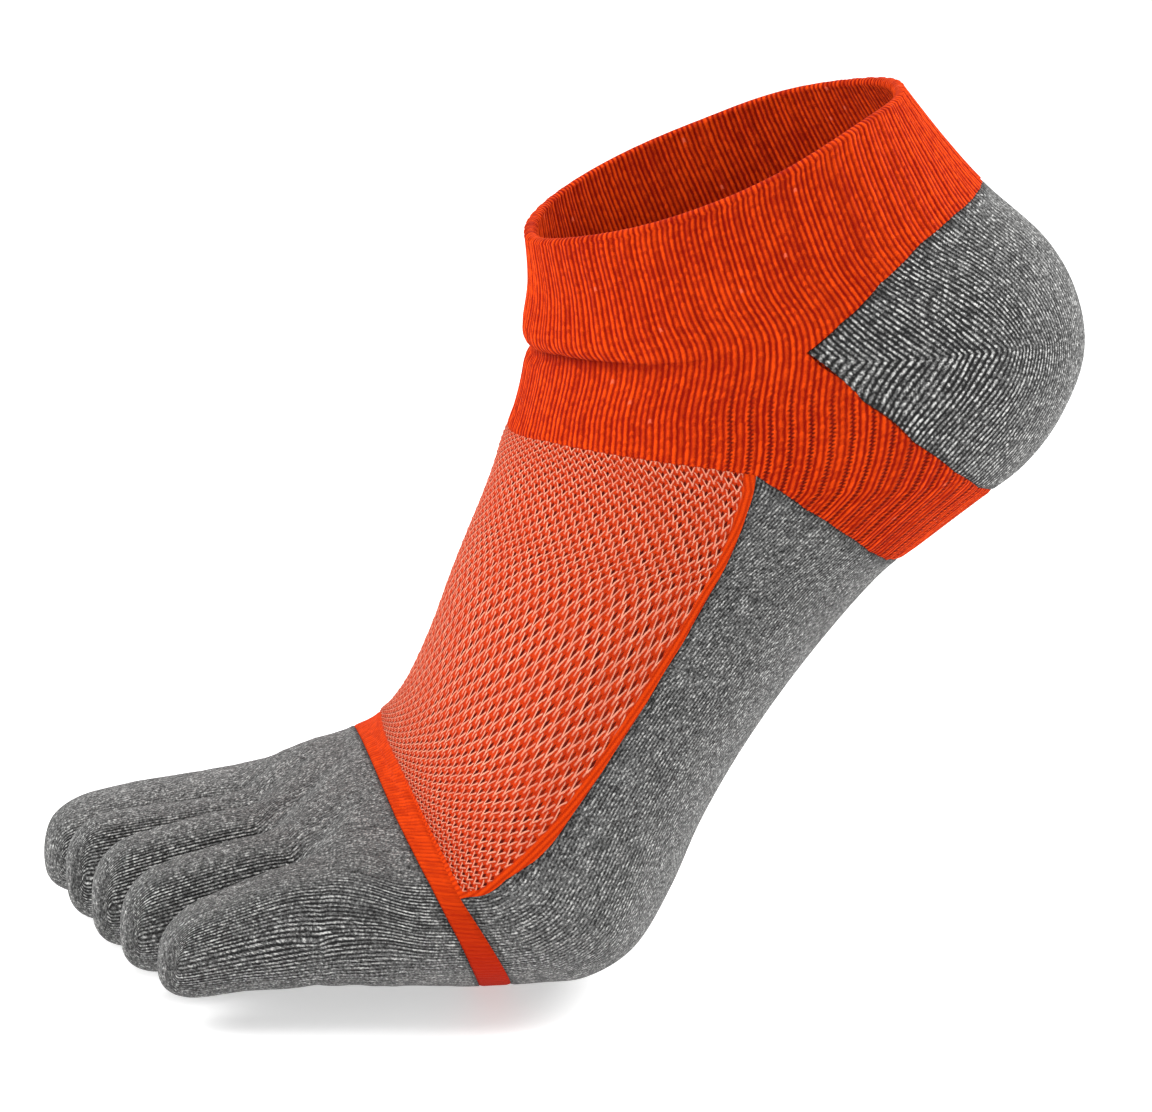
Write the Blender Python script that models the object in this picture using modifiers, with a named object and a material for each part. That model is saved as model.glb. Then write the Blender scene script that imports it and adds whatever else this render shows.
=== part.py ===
# Low toe sock, a left one, held in the form of the foot that fills it, on tiptoe.
# Metres, Z up, toes towards -X, little toe towards -Y, origin at the centre of the ankle opening's rim.
from collections import namedtuple
import math

import bpy
import numpy as np

SOCK_LENGTH = 0.200      # along X, from the big toe's tip to the back of the heel
SOCK_HEIGHT = 0.172      # from the toes' underside to the back of the rim
SOCK_WIDTH = 0.092       # across the ball of the foot
WALL = 0.0018            # one layer of knit
CUFF_WALL = 0.0022       # the rib is thicker
FOLD_BULGE = 0.0012      # how far the cuff stands out over the ankle at its lower front edge
JOIN_GAP = 0.0004        # between pieces that are knitted into each other
TOE_GAP = 0.0009         # between the forefoot and the slanted bases of the toe pockets
FRONT_COLUMNS = 8        # between the front ridge and the near side seam
BACK_COLUMNS = 22        # across the heel pocket
PANEL_ROWS = 12
TOE_COLUMNS = 20
TOE_STRAIGHT_ROWS = 5
TOE_DOME_ROWS = 5
EDGE_ROW = 0.025         # share of a panel between its edge and the line beside it
EDGE_COLUMN = 0.014

# Sections from the rim to the toe bases. Each has a front and a back point as shares of the sock's
# length and height, its half widths and the sideways place of its front ridge as shares of the
# width, its lag (how far the near side trails, per metre of width) and how square its near, far
# and back sides are.
Section = namedtuple("Section", "name front_x front_z back_x back_z near far lag ridge"
                     " near_square far_square back_square")
SECTIONS = [
    Section("rim", -0.176, -0.082, 0.176, 0.086, 0.342, 0.375, 0.00, 0.00, 2.50, 2.50, 2.45),
    Section("cuff_middle", -0.172, -0.140, 0.218, 0.025, 0.342, 0.350, 0.00, 0.00, 2.30, 2.30, 2.25),
    Section("heel_top", -0.174, -0.196, 0.259, -0.027, 0.342, 0.342, 0.00, 0.00, 2.20, 2.20, 2.00),
    Section("heel_upper", -0.177, -0.222, 0.318, -0.089, 0.348, 0.348, 0.00, 0.00, 2.20, 2.20, 1.95),
    Section("heel_bulge", -0.181, -0.249, 0.348, -0.151, 0.353, 0.353, 0.00, 0.00, 2.20, 2.20, 1.95),
    Section("heel_widest", -0.187, -0.277, 0.355, -0.216, 0.353, 0.353, 0.00, 0.01, 2.20, 2.20, 2.00),
    Section("heel_lower", -0.193, -0.296, 0.335, -0.283, 0.353, 0.353, 0.00, 0.01, 2.20, 2.20, 2.00),
    Section("heel_under", -0.200, -0.319, 0.303, -0.335, 0.353, 0.353, 0.00, 0.02, 2.20, 2.20, 2.00),
    Section("heel_end", -0.208, -0.350, 0.260, -0.373, 0.353, 0.353, 0.00, 0.02, 2.15, 2.15, 2.05),
    Section("arch_back", -0.220, -0.389, 0.214, -0.414, 0.359, 0.359, 0.00, 0.03, 2.10, 2.10, 2.10),
    Section("arch", -0.233, -0.427, 0.166, -0.458, 0.370, 0.370, 0.02, 0.04, 2.05, 2.05, 2.20),
    Section("instep_high", -0.250, -0.480, 0.101, -0.547, 0.391, 0.391, 0.04, 0.06, 2.00, 2.00, 2.30),
    Section("instep", -0.270, -0.548, 0.042, -0.643, 0.418, 0.418, 0.05, 0.09, 2.00, 2.00, 2.40),
    Section("instep_low", -0.292, -0.608, -0.004, -0.735, 0.451, 0.446, 0.07, 0.11, 2.00, 2.00, 2.50),
    Section("ball_back", -0.309, -0.642, -0.036, -0.816, 0.478, 0.473, 0.09, 0.13, 2.00, 2.00, 2.60),
    Section("ball_corner", -0.320, -0.657, -0.072, -0.880, 0.495, 0.489, 0.10, 0.14, 2.00, 2.00, 2.80),
    Section("ball", -0.325, -0.666, -0.119, -0.914, 0.500, 0.500, 0.12, 0.15, 1.95, 1.95, 2.80),
    Section("ball_middle", -0.329, -0.671, -0.167, -0.921, 0.500, 0.505, 0.14, 0.15, 1.95, 1.95, 2.80),
    Section("ball_front", -0.335, -0.678, -0.215, -0.923, 0.500, 0.505, 0.16, 0.16, 1.95, 1.95, 2.80),
    Section("forefoot", -0.366, -0.696, -0.273, -0.924, 0.489, 0.500, 0.21, 0.17, 2.30, 1.95, 2.90),
    Section("toe_roots", -0.401, -0.714, -0.332, -0.906, 0.478, 0.489, 0.27, 0.18, 2.90, 1.95, 2.90),
    Section("toe_bases", -0.439, -0.730, -0.391, -0.893, 0.473, 0.478, 0.32, 0.19, 3.60, 2.00, 2.90),
]

# Where the knit changes, in sections counted from the rim, for turns round the sock: 0 is the front
# ridge, 0.25 the near side and 0.5 the back. The far side mirrors the near one.
Seam = namedtuple("Seam", "turn cuff_end heel_end band_end stripe_rear stripe_front")
SEAMS = [
    Seam(0.000, 2.00, 2.00, 6.15, 15.20, 18.30),
    Seam(0.090, 2.33, 2.33, 5.85, 15.75, 18.30),
    Seam(0.130, 2.70, 2.70, 5.95, 16.30, 18.30),
    Seam(0.167, 3.05, 3.05, 6.10, 16.75, 18.25),
    Seam(0.211, 3.20, 3.20, 6.32, 17.15, 18.20),
    Seam(0.237, 3.35, 3.35, 6.50, 17.30, 18.22),
    Seam(0.254, 3.46, 3.46, 6.95, 17.37, 18.25),
    Seam(0.280, 2.98, 4.75, 7.55, 17.45, 18.28),
    Seam(0.318, 2.50, 5.78, 8.22, 17.55, 18.34),
    Seam(0.363, 2.15, 6.65, 8.87, 17.65, 18.38),
    Seam(0.405, 2.00, 7.25, 9.32, 17.75, 18.40),
    Seam(0.460, 1.92, 7.70, 9.62, 17.80, 18.40),
    Seam(0.500, 1.90, 7.85, 9.70, 17.80, 18.40),
]
HEEL_START = 0.260       # turn where the heel pocket's point begins

# The seam between the mesh and the sole, as a turn, for shares of the way from the band to the stripe.
Side = namedtuple("Side", "share turn")
SIDES = [
    Side(0.00, 0.238),
    Side(0.10, 0.250),
    Side(0.23, 0.267),
    Side(0.33, 0.276),
    Side(0.41, 0.276),
    Side(0.51, 0.270),
    Side(0.64, 0.258),
    Side(0.79, 0.242),
    Side(1.00, 0.238),
]

# Toe pockets. Sides and lengths along Y are shares of the width, X of the length, Z of the height.
Toe = namedtuple("Toe", "name far_side near_side base_x tip_x base_top tip_top tip_low tip_taper dome")
TOES = [
    Toe("toe_big", 0.475, 0.210, -0.465, -0.663, -0.749, -0.797, -0.905, 0.93, 0.052),
    Toe("toe_second", 0.210, 0.045, -0.459, -0.632, -0.745, -0.776, -0.896, 0.95, 0.042),
    Toe("toe_third", 0.045, -0.115, -0.444, -0.600, -0.736, -0.786, -0.902, 0.95, 0.040),
    Toe("toe_fourth", -0.115, -0.280, -0.416, -0.566, -0.740, -0.794, -0.902, 0.95, 0.040),
    Toe("toe_little", -0.280, -0.465, -0.366, -0.524, -0.742, -0.812, -0.902, 0.93, 0.042),
]
TOE_FLOOR = -0.890       # share of the height, underside of the toe bases
TOE_BASE_SQUARE = 2.9    # neighbours stand cheek to cheek at their bases
TOE_TIP_SQUARE = 2.2
WEB_START = 0.93         # share of a toe's half width where the web between two toes begins


def along_table(table, place):
    """Reads a table with evenly counted rows at any place, in a smooth curve through its rows."""
    values = np.array(table, dtype=float)
    place = np.clip(np.asarray(place, dtype=float), 0, len(values) - 1)
    row = np.minimum(place.astype(int), len(values) - 2)
    part = (place - row)[..., None]
    last = len(values) - 1
    before, start, end, after = (values[np.clip(row + step, 0, last)] for step in (-1, 0, 1, 2))
    return 0.5 * (2 * start + (end - before) * part
                  + (2 * before - 5 * start + 4 * end - after) * part ** 2
                  + (3 * start - before - 3 * end + after) * part ** 3)


def between(rows, column, where):
    """Reads one named column of a table against its first column."""
    return np.interp(where, [row[0] for row in rows], [getattr(row, column) for row in rows])


def near_turn(turn):
    """The same turn counted from the front ridge on either side."""
    return 0.5 - np.abs(np.mod(turn, 1.0) - 0.5)


def seam(column, turn):
    return between(SEAMS, column, near_turn(turn))


def round_share(angle_part, square):
    """Cosine or sine of a squared circle."""
    return np.sign(angle_part) * np.abs(angle_part) ** (2 / square)


def skin(place, turn):
    """The sock's outer skin behind the toes, at a place along SECTIONS and a turn round it."""
    place, turn = np.broadcast_arrays(np.asarray(place, dtype=float), np.asarray(turn, dtype=float))
    rows = along_table([section[1:] for section in SECTIONS], place)
    front_x, front_z, back_x, back_z, near, far, lag, ridge = np.moveaxis(rows[..., :8], -1, 0)
    near_square, far_square, back_square = np.moveaxis(rows[..., 8:], -1, 0)
    cosine = np.cos(2 * math.pi * turn)
    sine = np.sin(2 * math.pi * turn)
    frontness = np.clip(0.5 + cosine, 0, 1)
    frontness = frontness * frontness * (3 - 2 * frontness)
    square = np.where(sine > 0, near_square, far_square) * frontness + back_square * (1 - frontness)
    rise = round_share(cosine, square)
    side = round_share(sine, square)
    y = -np.where(sine > 0, near, far) * SOCK_WIDTH * side
    half_x = (front_x - back_x) / 2 * SOCK_LENGTH
    half_z = (front_z - back_z) / 2 * SOCK_HEIGHT
    half = np.hypot(half_x, half_z)
    x = (front_x + back_x) / 2 * SOCK_LENGTH + half_x * rise - half_z / half * lag * y
    z = (front_z + back_z) / 2 * SOCK_HEIGHT + half_z * rise + half_x / half * lag * y
    y = y + ridge * SOCK_WIDTH * np.clip(cosine, 0, 1) ** 2
    return np.stack([x, y, z], axis=-1)


def outward(place, turn):
    """The skin's outward direction."""
    step = 1e-3
    down = skin(place + step, turn) - skin(place - step, turn)
    around = skin(place, turn + step) - skin(place, turn - step)
    normal = np.cross(down, around)
    return normal / np.linalg.norm(normal, axis=-1, keepdims=True)


def toe_line(y):
    """X of the line across the toe bases, at any Y."""
    middles = [(toe.far_side + toe.near_side) / 2 * SOCK_WIDTH for toe in reversed(TOES)]
    return np.interp(y, middles, [toe.base_x * SOCK_LENGTH for toe in reversed(TOES)])


def toe_skin(toe, along, turn):
    """A toe pocket's outer skin: along runs from its open base, 0, to its tip, 1."""
    along, turn = np.broadcast_arrays(np.asarray(along, dtype=float), np.asarray(turn, dtype=float))
    length = (toe.base_x - toe.tip_x) * SOCK_LENGTH
    dome = toe.dome * SOCK_LENGTH
    straight = 1 - dome / length
    bend = np.clip((along - straight) / (1 - straight), 0, 1) * math.pi / 2
    reach = np.where(along < straight, along * length, straight * length + dome * np.sin(bend))
    share = reach / length
    shrink = np.cos(bend)
    half_gap = JOIN_GAP / 2
    half_width = (toe.far_side - toe.near_side) / 2 * SOCK_WIDTH - half_gap
    half_width = half_width * (1 + (toe.tip_taper - 1) * share) * shrink ** 0.65
    top = (toe.base_top + (toe.tip_top - toe.base_top) * share ** 1.25) * SOCK_HEIGHT
    low = (TOE_FLOOR + (toe.tip_low - TOE_FLOOR) * share ** 2) * SOCK_HEIGHT
    half_height = (top - low) / 2 * shrink ** 0.75
    square = TOE_BASE_SQUARE + (TOE_TIP_SQUARE - TOE_BASE_SQUARE) * np.minimum(share * 1.5, 1)
    middle = (toe.far_side + toe.near_side) / 2 * SOCK_WIDTH
    y = middle - half_width * round_share(np.sin(2 * math.pi * turn), square)
    x = toe.base_x * SOCK_LENGTH * share + toe_line(y) * (1 - share) - reach
    z = (top + low) / 2 + half_height * round_share(np.cos(2 * math.pi * turn), square)
    return np.stack([x, y, z], axis=-1)


def toe_root_edge(turn):
    """The forefoot's front edge, which follows the five toe bases over and under."""
    upper = np.cos(2 * math.pi * turn) > 0
    middle = (TOES[0].far_side + TOES[-1].near_side) / 2 * SOCK_WIDTH
    reach = (TOES[0].far_side - TOES[-1].near_side) / 2 * SOCK_WIDTH
    across = middle - reach * round_share(np.sin(2 * math.pi * turn), TOE_TIP_SQUARE)
    edge = np.stack([toe_line(across) + TOE_GAP, across, np.zeros(across.shape)], axis=-1)
    for toe in TOES:
        middle = (toe.far_side + toe.near_side) / 2 * SOCK_WIDTH
        half_width = (toe.far_side - toe.near_side) / 2 * SOCK_WIDTH
        mine = np.abs(across - middle) <= half_width
        offset = np.abs(across - middle) / half_width
        webbed = (across < (TOES[0].near_side + TOES[0].far_side) / 2 * SOCK_WIDTH)
        webbed &= (across > (TOES[-1].near_side + TOES[-1].far_side) / 2 * SOCK_WIDTH)
        offset = np.where(webbed, np.minimum(offset, WEB_START), np.minimum(offset, 1))
        height = (1 - offset ** TOE_BASE_SQUARE) ** (1 / TOE_BASE_SQUARE)
        half_height = (toe.base_top - TOE_FLOOR) / 2 * SOCK_HEIGHT
        centre = (toe.base_top + TOE_FLOOR) / 2 * SOCK_HEIGHT
        edge[mine, 2] = (centre + np.where(upper, 1, -1) * height * half_height)[mine]
    return edge


def shares(count, edge):
    """Even shares from 0 to 1, with one more line close to each end that holds the edge's direction."""
    return np.sort(np.concatenate([np.linspace(0, 1, count), [edge, 1 - edge]]))


def pull_in(points, first=False, last=False):
    """Draws the first or last line of a grid of points back by half of the gap between pieces."""
    if first:
        step = points[1] - points[0]
        points[0] += step / np.linalg.norm(step, axis=-1, keepdims=True) * JOIN_GAP / 2
    if last:
        step = points[-2] - points[-1]
        points[-1] += step / np.linalg.norm(step, axis=-1, keepdims=True) * JOIN_GAP / 2


def knit_piece(name, points, wall, colour, joined=False):
    """Lays a grid sheet over the points, its face outwards, joins a ring's edges and thickens it inwards."""
    rows, columns = points.shape[:2]
    bpy.ops.mesh.primitive_grid_add(x_subdivisions=columns - 1, y_subdivisions=rows - 1, size=1)
    piece = bpy.context.object
    piece.name = name
    piece.data.name = name
    for number, vertex in enumerate(piece.data.vertices):
        vertex.co = points[number // columns, -1 - number % columns]
    if joined:
        bpy.ops.object.mode_set(mode="EDIT")
        bpy.ops.mesh.select_all(action="SELECT")
        bpy.ops.mesh.remove_doubles(threshold=1e-5)
        bpy.ops.object.mode_set(mode="OBJECT")
    thickness = piece.modifiers.new("knit_thickness", "SOLIDIFY")
    thickness.thickness = wall
    thickness.offset = -1
    material = bpy.data.materials.new(name + "_knit")
    material.use_nodes = True
    material.node_tree.nodes["Principled BSDF"].inputs["Base Color"].default_value = (*colour, 1)
    material.node_tree.nodes["Principled BSDF"].inputs["Roughness"].default_value = 0.9
    piece.data.materials.append(material)
    for collection in list(piece.users_collection):
        collection.objects.unlink(piece)
    sock.objects.link(piece)
    return piece


ORANGE = (0.80, 0.10, 0.01)
MESH_ORANGE = (0.82, 0.20, 0.08)
GREY = (0.22, 0.22, 0.22)


def ring_turns():
    """Turns of a ring's columns, which line up with the mesh at the front and the heel at the back."""
    front = np.linspace(0, SIDES[0].turn, FRONT_COLUMNS + 1)
    back = np.linspace(HEEL_START, 1 - HEEL_START, BACK_COLUMNS + 1)
    return np.concatenate([front, back, 1 - front[::-1]])


def build_cuff():
    """Rib cuff from the rim to the fold at the front and the heel's upper edge at the back."""
    turn = ring_turns()[None, :]
    share = np.linspace(0, 1, 8)[:, None]
    place = share * seam("cuff_end", turn)
    points = skin(place, turn)
    front = np.clip(1 - near_turn(turn) / 0.22, 0, 1) ** 0.5
    points += outward(place, turn) * (FOLD_BULGE * front * np.sin(math.pi * share ** 2.2))[..., None]
    pull_in(points, last=True)
    knit_piece("cuff", points, CUFF_WALL, ORANGE, joined=True)


def build_ankle_band():
    """Rib below the fold, round the ankle and under the foot between the heel and the sole."""
    turn = ring_turns()[None, :]
    share = np.linspace(0, 1, 6)[:, None]
    start = seam("heel_end", turn)
    points = skin(start + (seam("band_end", turn) - start) * share, turn)
    pull_in(points, first=True, last=True)
    knit_piece("ankle_band", points, WALL, ORANGE, joined=True)


def build_heel_pocket():
    """Heel pocket, with its point on each side where its two edges meet."""
    turn = np.linspace(HEEL_START, 1 - HEEL_START, BACK_COLUMNS + 1)[None, :]
    share = np.linspace(0, 1, 11)[:, None]
    start = seam("cuff_end", turn)
    points = skin(start + (seam("heel_end", turn) - start) * share, turn)
    pull_in(points, first=True, last=True)
    knit_piece("heel_pocket", points, WALL, GREY)


def foot_panel(name, first_turn, last_turn, columns, colour):
    """A panel between the ankle band and the stripe, with its side seams given as turns."""
    share = shares(PANEL_ROWS, EDGE_ROW)[:, None]
    turn = first_turn(share) + (last_turn(share) - first_turn(share)) * columns[None, :]
    start = seam("band_end", turn)
    points = skin(start + (seam("stripe_rear", turn) - start) * share, turn)
    pull_in(points, first=True, last=True)
    sideways = np.swapaxes(points, 0, 1)
    pull_in(sideways, first=True, last=True)
    knit_piece(name, points, WALL, colour)


def side_turn(share):
    return between(SIDES, "turn", share)


def build_instep_mesh():
    columns = shares(2 * FRONT_COLUMNS + 1, EDGE_COLUMN)
    foot_panel("instep_mesh", lambda share: -side_turn(share), side_turn, columns, MESH_ORANGE)


def build_sole_panel():
    under = ring_turns()[FRONT_COLUMNS:-FRONT_COLUMNS]
    even = np.linspace(0, 1, len(under))
    columns = np.interp(shares(len(under), EDGE_COLUMN), even, (under - under[0]) / (under[-1] - under[0]))
    foot_panel("sole_panel", side_turn, lambda share: 1 - side_turn(share), columns, GREY)


def build_stripe_band():
    """Plain ring round the foot behind the toe section."""
    turn = ring_turns()[None, :]
    share = np.linspace(0, 1, 4)[:, None]
    start = seam("stripe_rear", turn)
    points = skin(start + (seam("stripe_front", turn) - start) * share, turn)
    pull_in(points, first=True, last=True)
    knit_piece("stripe_band", points, WALL, ORANGE, joined=True)


def build_forefoot():
    """Toe section from the stripe to the five toe bases."""
    ring = ring_turns()
    turn = np.sort(np.concatenate([ring, (ring[1:] + ring[:-1]) / 2]))[None, :]
    share = np.linspace(0, 1, 6)[:, None]
    start = seam("stripe_front", turn)
    points = skin(start + (len(SECTIONS) - 1 - start) * share, turn)
    to_edge = toe_root_edge(turn) - skin(len(SECTIONS) - 1, turn)
    points += to_edge * (share ** 2)[..., None]
    points[0, 1::2] = (points[0, :-1:2] + points[0, 2::2]) / 2
    pull_in(points, first=True)
    knit_piece("forefoot", points, WALL, GREY, joined=True)


def build_toe(toe):
    """One toe pocket, open at its base, with its rows closer together round the tip."""
    turn = np.linspace(0, 1, TOE_COLUMNS + 1)[None, :]
    straight = 1 - toe.dome / (toe.base_x - toe.tip_x)
    rows = np.linspace(0, straight, TOE_STRAIGHT_ROWS)
    dome = np.linspace(straight, 1, TOE_DOME_ROWS)[1:]
    points = toe_skin(toe, np.concatenate([rows, dome])[:, None], turn)
    knit_piece(toe.name, points, WALL, GREY, joined=True)


for leftover in list(bpy.data.objects):
    bpy.data.objects.remove(leftover)
sock = bpy.data.collections.new("toe_sock")
bpy.context.scene.collection.children.link(sock)

build_cuff()
build_ankle_band()
build_heel_pocket()
build_instep_mesh()
build_sole_panel()
build_stripe_band()
build_forefoot()
for toe in TOES:
    build_toe(toe)
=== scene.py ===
import math

import bpy
import numpy as np
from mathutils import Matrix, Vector, kdtree


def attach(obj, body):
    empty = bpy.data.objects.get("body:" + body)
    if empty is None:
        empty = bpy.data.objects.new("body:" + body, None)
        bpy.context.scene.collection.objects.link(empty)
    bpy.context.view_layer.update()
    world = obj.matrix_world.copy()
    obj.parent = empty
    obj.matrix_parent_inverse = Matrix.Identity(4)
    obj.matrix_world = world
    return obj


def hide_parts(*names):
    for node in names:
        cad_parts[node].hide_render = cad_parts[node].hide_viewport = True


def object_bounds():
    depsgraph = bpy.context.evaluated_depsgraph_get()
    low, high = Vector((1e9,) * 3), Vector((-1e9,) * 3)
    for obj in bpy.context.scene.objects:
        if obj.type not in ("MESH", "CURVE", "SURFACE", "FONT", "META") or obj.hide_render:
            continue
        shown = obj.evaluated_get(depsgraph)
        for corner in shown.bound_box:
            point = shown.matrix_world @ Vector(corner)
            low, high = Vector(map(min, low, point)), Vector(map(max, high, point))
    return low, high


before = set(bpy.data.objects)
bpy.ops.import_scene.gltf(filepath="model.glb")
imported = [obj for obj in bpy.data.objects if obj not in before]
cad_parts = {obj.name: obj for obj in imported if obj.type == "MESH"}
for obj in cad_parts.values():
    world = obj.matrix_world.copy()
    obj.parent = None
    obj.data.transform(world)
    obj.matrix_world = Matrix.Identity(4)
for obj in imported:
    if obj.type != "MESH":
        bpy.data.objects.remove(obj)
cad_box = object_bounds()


# The studio: a pale floor under the toes, two large soft lights over the instep and behind the heel,
# a weak one beside the camera, and a camera level with the sock's outer side, looking 15 degrees down.
CAMERA_DOWN = math.radians(15)
CAMERA_AIM = Vector((-0.02559, 0.0, -0.07721))
CAMERA_DISTANCE = 1.0
CAMERA_LENS = 162.5
FLOOR_Z = cad_box[0][2] - 0.0004
FLOOR_COLOURS = (0.80, 0.80, 0.80, 1), (0.78, 0.78, 0.78, 1)
FLOOR_GLOW = 0.50
AIR_LIGHT = 0.55
LIGHTS = [  # name, place, size, power
    ("light_over_instep", (-0.95, -0.20, 0.75), 0.80, 15.5),
    ("light_behind_heel", (0.85, 0.25, 0.60), 0.70, 16.0),
    ("light_by_camera", (0.10, -1.30, 0.55), 0.60, 1.4),
]


class Shade:
    """A socket among a material's nodes, on which plain arithmetic adds Math nodes."""

    def __init__(self, tree, socket):
        self.tree = tree
        self.socket = socket

    def add(self, kind, settings, values, output=0):
        """Adds one node: its settings first, then the values or links of its sockets."""
        node = self.tree.nodes.new(kind)
        for name, value in settings.items():
            setattr(node, name, value)
        for name, value in values.items():
            if isinstance(value, Shade):
                self.tree.links.new(value.socket, node.inputs[name])
            else:
                node.inputs[name].default_value = value
        return Shade(self.tree, node.outputs[output])

    def math(self, operation, *values):
        return self.add("ShaderNodeMath", {"operation": operation}, dict(enumerate(values)))

    def __add__(self, other):
        return self.math("ADD", self, other)

    def __radd__(self, other):
        return self.math("ADD", other, self)

    def __sub__(self, other):
        return self.math("SUBTRACT", self, other)

    def __rsub__(self, other):
        return self.math("SUBTRACT", other, self)

    def __mul__(self, other):
        return self.math("MULTIPLY", self, other)

    def __rmul__(self, other):
        return self.math("MULTIPLY", other, self)

    def __truediv__(self, other):
        return self.math("DIVIDE", self, other)

    def fract(self):
        return self.math("FRACT", self)

    def floor(self):
        return self.math("FLOOR", self)

    def size(self):
        return self.math("ABSOLUTE", self)

    def above(self, edge):
        return self.math("GREATER_THAN", self, edge)

    def smooth(self, low, high):
        """0 at low, 1 at high, with soft ends."""
        return self.add("ShaderNodeMapRange", {"interpolation_type": "SMOOTHSTEP"},
                        {0: self, 1: low, 2: high})

    def mix(self, first, second):
        """Mixes two colours, by this value."""
        return self.add("ShaderNodeMix", {"data_type": "RGBA"}, {0: self, 6: first, 7: second}, 2)

    def joined(self, other, third=0.0):
        return self.add("ShaderNodeCombineXYZ", {}, {0: self, 1: other, 2: third})

    def dice(self, other, third=0.0):
        """A number from 0 to 1 that is the same all over one stitch."""
        return self.add("ShaderNodeTexWhiteNoise", {"noise_dimensions": "3D"},
                        {"Vector": self.joined(other, third)})

    def cloud(self, scale, detail=3.0):
        return self.add("ShaderNodeTexNoise", {}, {"Vector": self, "Scale": scale, "Detail": detail,
                                                   "Roughness": 0.55})

    def axis(self, which):
        """One coordinate out of three."""
        return self.add("ShaderNodeSeparateXYZ", {}, {0: self}, which)

    def noted(self, name):
        """A number that the mesh keeps for each point."""
        return self.add("ShaderNodeAttribute", {"attribute_name": name}, {}, 2)

    def stitch_map(self):
        return self.add("ShaderNodeUVMap", {"uv_map": "knit"}, {})


def new_material(name, roughness, sheen):
    """A material with its shader's fixed sockets set, and a starting point for its nodes."""
    material = bpy.data.materials.new(name)
    material.use_nodes = True
    shader = material.node_tree.nodes["Principled BSDF"]
    shader.inputs["Roughness"].default_value = roughness
    shader.inputs["Specular IOR Level"].default_value = 0.06
    shader.inputs["Sheen Weight"].default_value = sheen
    shader.inputs["Sheen Roughness"].default_value = 0.45
    start = Shade(material.node_tree, None)
    places = start.add("ShaderNodeTexCoord", {}, {}, 3)
    return material, start, places


def finish_material(material, colour, height=None, depth=0.0):
    """Links the colour and the relief to the shader."""
    tree = material.node_tree
    shader = tree.nodes["Principled BSDF"]
    tree.links.new(colour.socket, shader.inputs["Base Color"])
    if height is not None:
        sockets = {"Height": height, "Distance": depth, "Strength": 1.0}
        relief = colour.add("ShaderNodeBump", {}, sockets)
        tree.links.new(relief.socket, shader.inputs["Normal"])


bpy.ops.object.select_all(action="DESELECT")
bpy.ops.mesh.primitive_plane_add(size=8, location=(0, 0, FLOOR_Z))
floor = bpy.context.object
floor.name = "studio_floor"
floor_paint, _, places = new_material("studio_floor_paint", 0.9, 0.0)
finish_material(floor_paint, places.cloud(6.0).mix(*FLOOR_COLOURS))
glow = floor_paint.node_tree.nodes["Principled BSDF"].inputs
glow["Emission Color"].default_value = (1, 1, 1, 1)
glow["Emission Strength"].default_value = FLOOR_GLOW
floor.data.materials.append(floor_paint)

world = bpy.data.worlds.new("studio_air")
world.use_nodes = True
air = world.node_tree.nodes["Background"].inputs
air["Color"].default_value = (1, 1, 1, 1)
air["Strength"].default_value = AIR_LIGHT
bpy.context.scene.world = world
bpy.context.scene.view_settings.view_transform = "Standard"

for name, spot, size, power in LIGHTS:
    bpy.ops.object.light_add(type="AREA", location=spot)
    light = bpy.context.object
    light.name = name
    light.data.size = size
    light.data.energy = power
    light.rotation_euler = (CAMERA_AIM - Vector(spot)).to_track_quat("-Z", "Y").to_euler()

bpy.ops.object.camera_add()
camera = bpy.context.object
camera.name = "studio_camera"
towards_camera = Vector((0, -math.cos(CAMERA_DOWN), math.sin(CAMERA_DOWN)))
camera.location = CAMERA_AIM + CAMERA_DISTANCE * towards_camera
camera.rotation_euler = (math.pi / 2 - CAMERA_DOWN, 0, 0)
camera.data.sensor_width = 36
camera.data.lens = CAMERA_LENS
bpy.context.scene.camera = camera


# The rib cuff: elastic orange rib, knitted double and turned over at the rim, so its upper edge is
# a soft roll. At the front it slumps into a fold that hangs over the ankle band.
SOCK_LENGTH = 0.200
SOCK_HEIGHT = 0.172
SOCK_WIDTH = 0.092
WALES = 220              # columns of stitches round the sock
COURSE = 0.00078         # height of one row of stitches

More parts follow.
